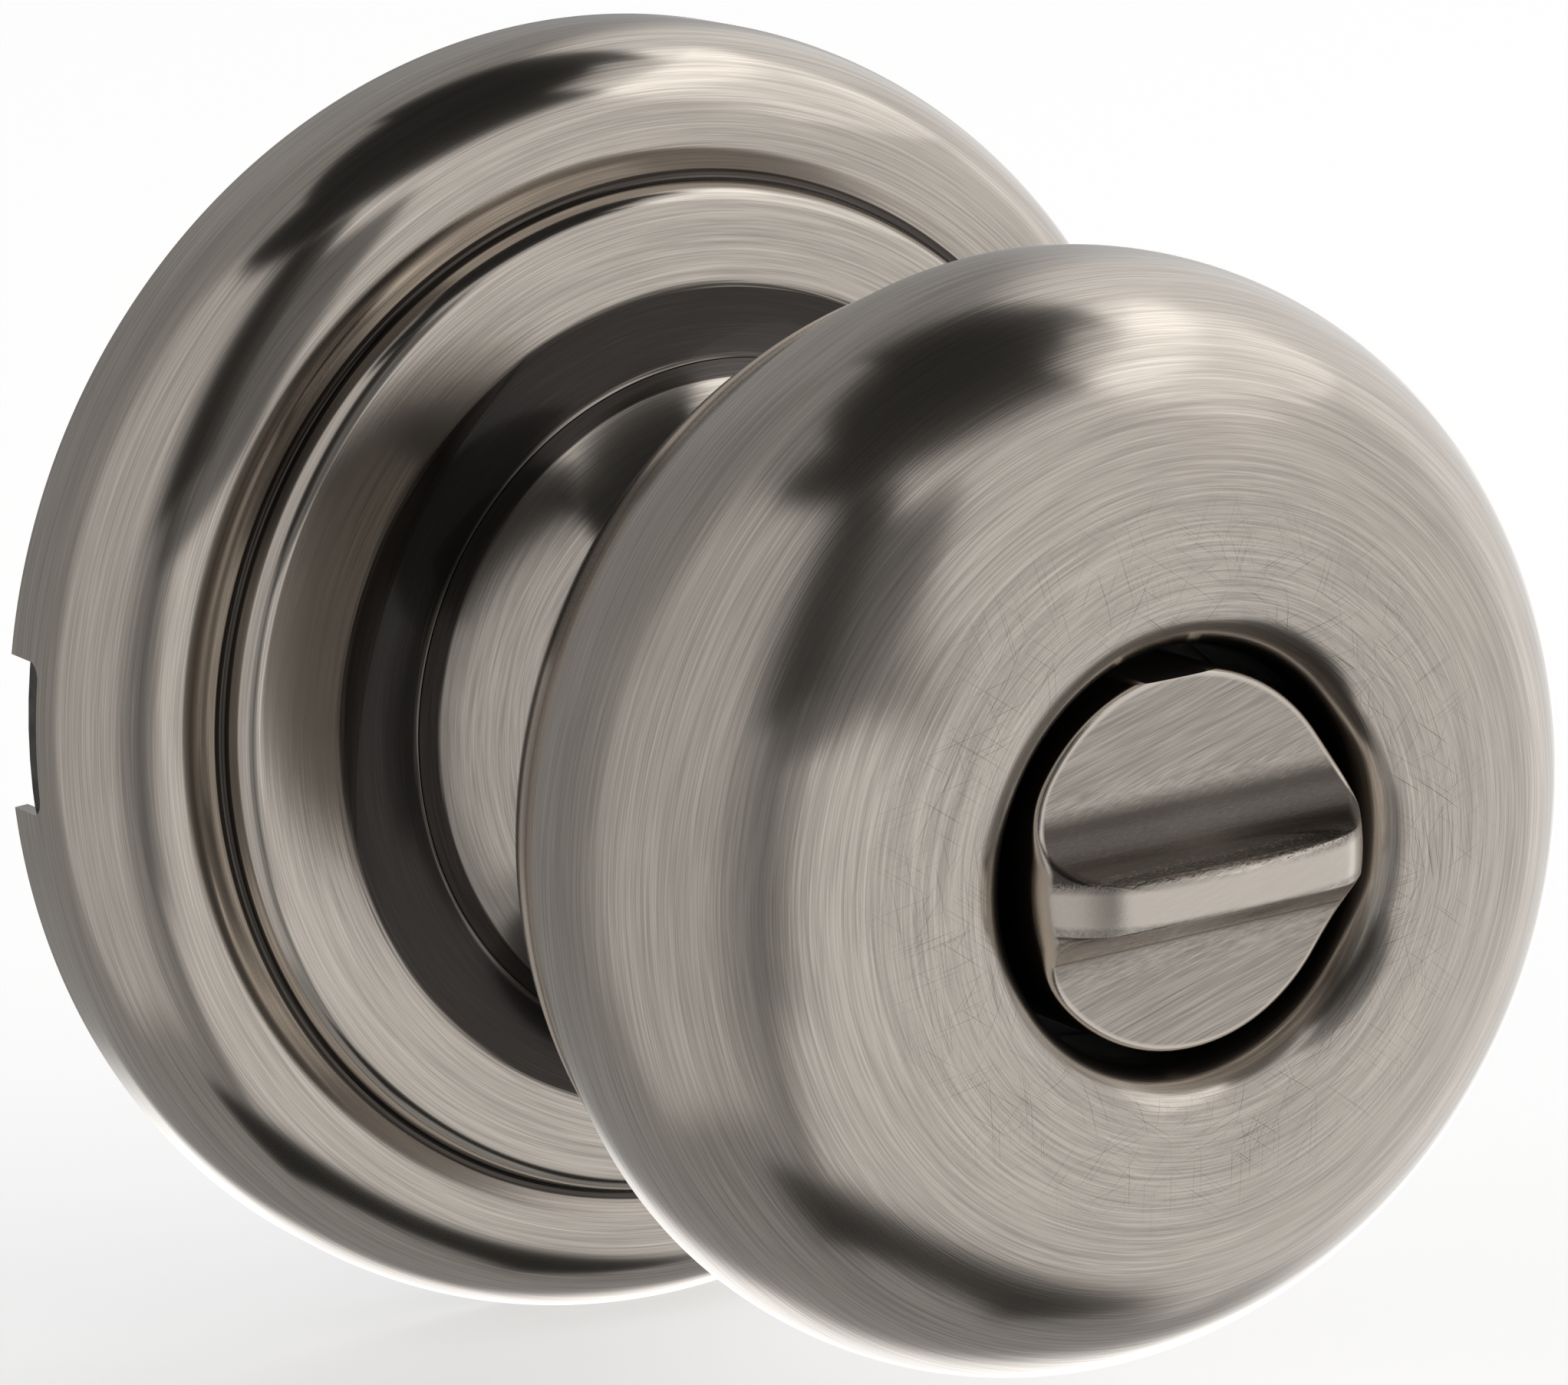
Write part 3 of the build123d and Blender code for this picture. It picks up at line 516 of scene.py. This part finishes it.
# ---- knob shells -------------------------------------------------------------------------
# Two drawn and spun shells: the front one is the face with its rolled-in hole, and its edge
# is crimped over the rim of the back one, which runs down into the neck.
knob_mid, knob_r, side_round, knob_wall, crown_rise = 41.999, 26.55, 11.8, 0.8, 14.6
side_r = knob_r - side_round
half_turn = math.atan((crown_rise - side_round) / side_r)
crown_round = side_round + side_r / math.sin(2 * half_turn)
hole_r, hole_round, hole_tube_h, crimp_lean = 9.7, 3.3, 45.6, 97
front_line = Outline(
    side_r + side_round * math.sin(math.radians(crimp_lean)),
    knob_mid + side_round * math.cos(math.radians(crimp_lean)), crimp_lean,
)
crimp_r, crimp_h = front_line.r, front_line.h
front_line.bend(side_round, math.degrees(2 * half_turn))
front_line.bend(
    crown_round, math.degrees(math.asin((hole_r + hole_round) / (crown_round - hole_round)))
)
front_line.bend(hole_round, -90)
front_line.run(front_line.h - hole_tube_h)
front_shell = lathe("knob_face", front_line.points() + front_line.points(knob_wall)[::-1])
front_shell.data.materials.append(
    antique_nickel("antique_nickel_face", 0.15, 0.14, patina_and_shade_rings=((hole_r - 0.1, 51.4, 1.3, 0.6),),
                   scratched=(10.5, 19.0))
)
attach(front_shell, "knob")
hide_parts("knob_front_shell")

throat_r, neck_foot_r, neck_foot_h = 12.25, 17.5, 12.97
seam_in, seam_lap, back_round, back_lean, slope_round, slope_lean = 0.84, 1.6, 13.5, 140, 30, 152
low_round, low_lean, foot_lean = 5.5, 58, 36
back_line = Outline(crimp_r - seam_in, crimp_h + seam_lap, 90)
back_line.run(-seam_lap)
back_line.bend(back_round, back_lean)
back_line.bend(slope_round, slope_lean)
back_line.bend(-(back_line.r - throat_r) / (1 - math.sin(math.radians(slope_lean))), 90)
low_sin, low_cos = math.sin(math.radians(low_lean)), math.cos(math.radians(low_lean))
foot_sin, foot_cos = math.sin(math.radians(foot_lean)), math.cos(math.radians(foot_lean))
foot_round = (neck_foot_r - throat_r - low_round * (1 - low_sin)) / (low_sin - foot_sin)
throat_low = neck_foot_h + foot_round * (foot_cos - low_cos) + low_round * low_cos
back_line.run(throat_low - back_line.h)
back_line.bend(-low_round, low_lean)
back_line.bend(-foot_round, foot_lean)
back_shell = lathe("knob_back", back_line.points() + back_line.points(knob_wall)[::-1])


def carve(piece, cutter):
    """Cut a closed bmesh, drawn in the piece's own frame, out of the piece."""
    mesh = bpy.data.meshes.new("cutter")
    cutter.to_mesh(mesh)
    cutter.free()
    tool = bpy.data.objects.new("cutter", mesh)
    tool.rotation_euler = piece.rotation_euler
    bpy.context.scene.collection.objects.link(tool)
    cut = piece.modifiers.new("cut", "BOOLEAN")
    cut.object, cut.operation, cut.solver = tool, "DIFFERENCE", "EXACT"
    bpy.context.view_layer.update()
    graph = bpy.context.evaluated_depsgraph_get()
    carved = bpy.data.meshes.new_from_object(piece.evaluated_get(graph))
    piece.modifiers.clear()
    piece.data = carved
    carved.materials.clear()
    carved.set_sharp_from_angle(angle=math.radians(35))
    bpy.data.objects.remove(tool)


pin_hole_r, pin_hole_h = 1.5, 21.3
drill = bmesh.new()
bmesh.ops.create_cone(drill, cap_ends=True, segments=40, radius1=pin_hole_r * MM,
                      radius2=pin_hole_r * MM, depth=knob_r * MM)
bmesh.ops.rotate(drill, verts=drill.verts, matrix=Matrix.Rotation(math.pi / 2, 3, "X"))
bmesh.ops.translate(drill, verts=drill.verts,
                    vec=(0, -(throat_r - 2 + knob_r / 2) * MM, pin_hole_h * MM))
carve(back_shell, drill)
# The ring at the neck's foot is the black left in that corner; the wide ring at r 20.5, h 31.5 is
# painted shadow under the knob's back.
back_shell.data.materials.append(
    antique_nickel("antique_nickel_neck", 0.12, 0.08,
                   patina_and_shade_rings=((neck_foot_r, neck_foot_h, 1.2, 1.0), (20.5, 31.5, 5.5, 0.6)))
)
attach(back_shell, "knob")
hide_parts("knob_back_shell")


# ---- turn button -------------------------------------------------------------------------
# A small zinc casting, nickel plated and blackened like the knob: two scoops leave a finger
# bar standing across it.  Its stem runs back into the knob to the locking rod.
button_r, button_side_h, scoop_depth, bar_half, scoop_round = 8.85, 56.1, 2.8, 1.2, 4.0
button_turned = math.radians(4)
scoop_floor = button_side_h - scoop_depth
bar_wall = scoop_floor + scoop_round
crown_drop = bar_wall + bar_half - button_side_h
button_crown = (button_r**2 + crown_drop**2) / (2 * crown_drop)
rim_fillet, bar_low, bar_end_l, bar_end_h, crest_blend = 0.35, 0.3, 3.2, 0.6, 0.7


def soft_least(a, b, blend):
    """The smaller of two heights, with their meeting edge rounded over."""
    near = max(0.0, blend - abs(a - b)) / blend
    return min(a, b) - near * near * blend / 4


def button_height(along, over):
    """The casting's top at a distance along the bar and a distance over it, in mm."""
    out = math.hypot(along, over)
    dome = button_side_h - button_crown + crown_drop + math.sqrt(button_crown**2 - out**2)
    off = abs(over + bar_low)
    if off < bar_half:
        cut = bar_wall + math.sqrt(bar_half**2 - off**2)
    elif off < bar_half + scoop_round:
        cut = bar_wall - math.sqrt(
            max(0.0, scoop_round**2 - (bar_half + scoop_round - off) ** 2)
        )
    else:
        cut = scoop_floor
    edge_in = button_r - out
    past_end = 1 - min(1.0, edge_in / bar_end_l)
    end_h = scoop_floor + bar_end_h
    dome = end_h + (dome - end_h) * math.sqrt(max(0.0, 1 - past_end**2))
    top = soft_least(dome, cut, crest_blend)
    if edge_in < rim_fillet:
        top -= rim_fillet - math.sqrt(max(0.0, rim_fillet**2 - (rim_fillet - edge_in) ** 2))
    return top


overs = set()
for k in range(61):
    overs.add(round(bar_half * math.sin(math.pi / 2 * k / 60), 4))
    overs.add(round(bar_half + scoop_round * (1 - math.cos(math.pi / 2 * k / 60)), 4))
for k in range(31):
    overs.add(round(bar_half + scoop_round
                    + (button_r - bar_half - scoop_round) * math.sin(math.pi / 2 * k / 30), 4))
overs = sorted({-o - bar_low for o in overs} | {o - bar_low for o in overs})
overs = [o for o in overs if abs(o) < button_r - 0.002]
columns = 180
verts, faces = [], []
for over in overs:
    half = math.sqrt(button_r**2 - over**2)
    for k in range(columns + 1):
        along = half * math.sin(math.pi / 2 * (2 * k / columns - 1))
        verts.append((along, over, button_height(along, over)))
row = columns + 1
for i in range(len(overs) - 1):
    for k in range(columns):
        a = i * row + k
        faces.append((a, a + 1, a + row + 1, a + row))
rim = list(range(row))
rim += [i * row + columns for i in range(1, len(overs))]
rim += [(len(overs) - 1) * row + k for k in range(columns - 1, -1, -1)]
rim += [i * row for i in range(len(overs) - 2, 0, -1)]
head_low_h, stem_r, stem_end_h = 46.0, 3.4, 34.0
flat_half, flats_low, flats_high = 3.1, 38.9, 42.1
clip_r, clip_low, clip_high = 2.95, 35.2, 35.9
stem_rows = [
    (stem_r, head_low_h), (stem_r, flats_high), (stem_r, flats_high - 0.02),
    (stem_r, flats_low + 0.02), (stem_r, flats_low), (stem_r, clip_high), (clip_r, clip_high),
    (clip_r, clip_low), (stem_r, clip_low), (stem_r, stem_end_h), (0.0, stem_end_h),
]
upper = len(verts)
for v in rim:
    x, y = verts[v][:2]
    out = math.hypot(x, y)
    verts.append((x / out * button_r, y / out * button_r, head_low_h))
for k in range(len(rim)):
    n = (k + 1) % len(rim)
    faces.append((rim[k], rim[n], upper + n, upper + k))
for row_r, h in stem_rows:
    ring = len(verts)
    for v in rim:
        a = math.atan2(verts[v][1], verts[v][0])
        r = row_r
        if flats_low < h < flats_high:
            r = min(r, flat_half / max(abs(math.cos(a)), abs(math.sin(a))))
        verts.append((r * math.cos(a), r * math.sin(a), h))
    for k in range(len(rim)):
        n = (k + 1) % len(rim)
        faces.append((upper + k, upper + n, ring + n, ring + k))
    upper = ring
button = finish_mesh("turn_button_head", verts, faces, crease=50)
button.rotation_euler = (math.pi / 2, -button_turned, 0)
button.data.materials.append(
    antique_nickel("antique_nickel_button", 0.20, 0.25, along=(0.966, 0.259), toned=0.20,
                   beside=((0.75, 3.6, 0.9), (-1.75, -1.5, 0.06), (-3.3, -3.15, 0.05)),
                   worn=(button_r - rim_fillet, button_r, -1.1, 0.5))
)
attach(button, "button")
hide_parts("turn_button")


# ---- plate and screws --------------------------------------------------------------------
# A pressed steel plate, zinc plated; its near black colour is painted shade for the shadow it
# lies in where the rose's notch shows it.
# Two zinc-plated 8-32 machine screws clamp it to the door: rolled thread, cross recess.
def worked_metal(name, bright, dull, satin, grain, spots=600.0, turned=False):
    """Bare or plated works metal: cloudy in tone, with turning rings or fine pitting."""
    made, w = new_skin(name)
    place = w.node("ShaderNodeTexCoord", output="Object")
    x, y, z = place.parts()
    if turned:
        lane = w.joined(w.math("SQRT", x * x + z * z) * 6, y * 6, 0.0)
    else:
        lane = place
    fine = w.node("ShaderNodeTexNoise", None,
                  {"Vector": lane, "Scale": spots, "Detail": 3.0, "Roughness": 0.6})
    cloud = w.node("ShaderNodeTexNoise", None,
                   {"Vector": place, "Scale": 120.0, "Detail": 2.0, "Roughness": 0.5})
    dark = (0.6 * fine + 0.4 * cloud).step(0.35, 0.65)
    tone = w.node("ShaderNodeMix", {"data_type": "RGBA"},
                  {0: dark, 6: (*bright, 1), 7: (*dull, 1)}, output=2)
    bump = w.node("ShaderNodeBump", None,
                  {"Strength": grain, "Distance": 0.00005, "Height": fine})
    skin = w.node("ShaderNodeBsdfPrincipled", None,
                  {"Base Color": tone, "Metallic": 1.0, "Roughness": satin + 0.12 * dark,
                   "Normal": bump})
    w.node("ShaderNodeOutputMaterial", None, {"Surface": skin})
    return made


def coat(metal, *nodes):
    """Give carried-over pieces their metal."""
    for node in nodes:
        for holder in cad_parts[node].material_slots:
            holder.material = metal


zinc_plate = worked_metal("zinc_plate", (0.70, 0.70, 0.68), (0.50, 0.50, 0.49), 0.30, 0.15)
# Painted shade: the plate's zinc is coloured near black for the shadow it lies in behind the
# rose.
painted_shade_zinc = worked_metal("painted_shade_zinc_plate", (0.15, 0.145, 0.14), (0.08, 0.077, 0.074), 0.34, 0.15)
coat(painted_shade_zinc, "mounting_plate")
screw_spacing, screw_r, shank_r, thread_root = 38.0, 2.08, 1.8, 1.62
screw_pitch, seat_h, shank_end_h, screw_end_h = 25.4 / 32, 1.5, -0.05, -20.0
head_r, head_h, head_round = 3.8, 2.4, 1.44
recess_l, recess_w, recess_depth = 4.2, 1.0, 1.44
for side, hand in ((-1, "left"), (1, "right")):
    head = [(0.0, seat_h + head_h)]
    head += [
        (head_r - head_round * (1 - math.cos(math.pi / 2 * k / 10)),
         seat_h + head_h - head_round * (1 - math.sin(math.pi / 2 * k / 10)))
        for k in range(10, -1, -1)
    ]
    head += [(head_r, seat_h), (shank_r, seat_h), (shank_r, shank_end_h)]
    around, rows = 40, int(-screw_end_h / screw_pitch * 12)
    circle = [(math.cos(2 * math.pi * t / around), math.sin(2 * math.pi * t / around))
              for t in range(around)]
    verts, faces = [], []
    for r, h in head:
        verts += [(r * c, r * s, h) for c, s in circle]
    for k in range(rows + 1):
        h = shank_end_h - (shank_end_h - screw_end_h) * k / rows
        taper = min(1.0, k / 10, (rows - k) / 12)
        for t, (c, s) in enumerate(circle):
            phase = (h / screw_pitch + t / around) % 1.0
            ridge = min(1.0, max(0.0, 1.15 - 2.3 * abs(phase - 0.5)))
            r = thread_root + (screw_r - thread_root) * ridge * taper
            verts.append((r * c, r * s, h))
    verts += [(0.0, 0.0, screw_end_h)] * around
    levels = len(verts) // around
    for k in range(levels - 1):
        for t in range(around):
            n = (t + 1) % around
            a, b = k * around, (k + 1) * around
            faces.append((a + t, b + t, b + n, a + n))
    screw = finish_mesh("mounting_screw_" + hand, verts, faces)
    for wide, tall in ((recess_l, recess_w), (recess_w, recess_l)):
        slot = bmesh.new()
        box = bmesh.ops.create_cube(slot, size=MM)["verts"]
        bmesh.ops.scale(slot, vec=(wide, tall, 2 * recess_depth), verts=box)
        bmesh.ops.translate(slot, vec=(0, 0, (seat_h + head_h) * MM), verts=box)
        carve(screw, slot)
    screw.location = (side * screw_spacing / 2 * MM, 0, 0)
    screw.data.materials.append(zinc_plate)
    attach(screw, "chassis")
    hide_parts("mounting_screws")


# ---- spring works ------------------------------------------------------------------------
# A plated steel cup riveted to the plate holds the coil of oiled spring steel; a brass
# bushing sits in the cup, and a hardened steel driver winds the spring.
coat(zinc_plate, "spring_housing", "housing_rivets")
brass = worked_metal("turned_brass", (0.80, 0.62, 0.33), (0.62, 0.45, 0.21), 0.24, 0.12,
                     turned=True)
coat(brass, "housing_bushing", "thrust_washer")
spring_steel = worked_metal("oiled_spring_steel", (0.46, 0.46, 0.47), (0.27, 0.27, 0.28),
                            0.28, 0.10)
coat(spring_steel, "return_spring", "retaining_ring")
hard_steel = worked_metal("hardened_steel", (0.34, 0.32, 0.30), (0.19, 0.18, 0.175), 0.34, 0.2)
coat(hard_steel, "spring_driver")


# ---- drive sleeve and knob core ----------------------------------------------------------
# The zinc-plated steel sleeve turns in the plate and carries the knob's die-cast zinc core;
# the spring catch in the core's side snaps into the neck's pin hole.
turned_zinc = worked_metal("turned_zinc_plate", (0.72, 0.72, 0.70), (0.54, 0.54, 0.53), 0.26,
                           0.12, turned=True)
coat(turned_zinc, "drive_sleeve", "locking_stem")
cast_zinc = worked_metal("cast_zinc", (0.56, 0.56, 0.55), (0.40, 0.40, 0.395), 0.46, 0.35, 900)
coat(cast_zinc, "knob_core")
coat(hard_steel, "knob_catch")
coat(spring_steel, "catch_spring")


# ---- button housing ----------------------------------------------------------------------
# A black acetal cup, moulded with a fine spark-eroded grain, guides the button's stem; its
# steel leaf and clip are pressed from spring strip.
acetal, w = new_skin("black_acetal")
grain = w.node("ShaderNodeTexNoise", None,
               {"Vector": w.node("ShaderNodeTexCoord", output="Object"), "Scale": 2500.0,
                "Detail": 2.0, "Roughness": 0.5})
tone = w.node("ShaderNodeMix", {"data_type": "RGBA"},
              {0: grain, 6: (0.024, 0.024, 0.025, 1), 7: (0.05, 0.05, 0.05, 1)}, output=2)
bump = w.node("ShaderNodeBump", None,
              {"Strength": 0.25, "Distance": 0.00003, "Height": grain})
skin = w.node("ShaderNodeBsdfPrincipled", None,
              {"Base Color": tone, "Roughness": 0.42 + 0.15 * grain, "Normal": bump})
w.node("ShaderNodeOutputMaterial", None, {"Surface": skin})
coat(acetal, "button_housing")
coat(spring_steel, "detent_spring", "button_clip")
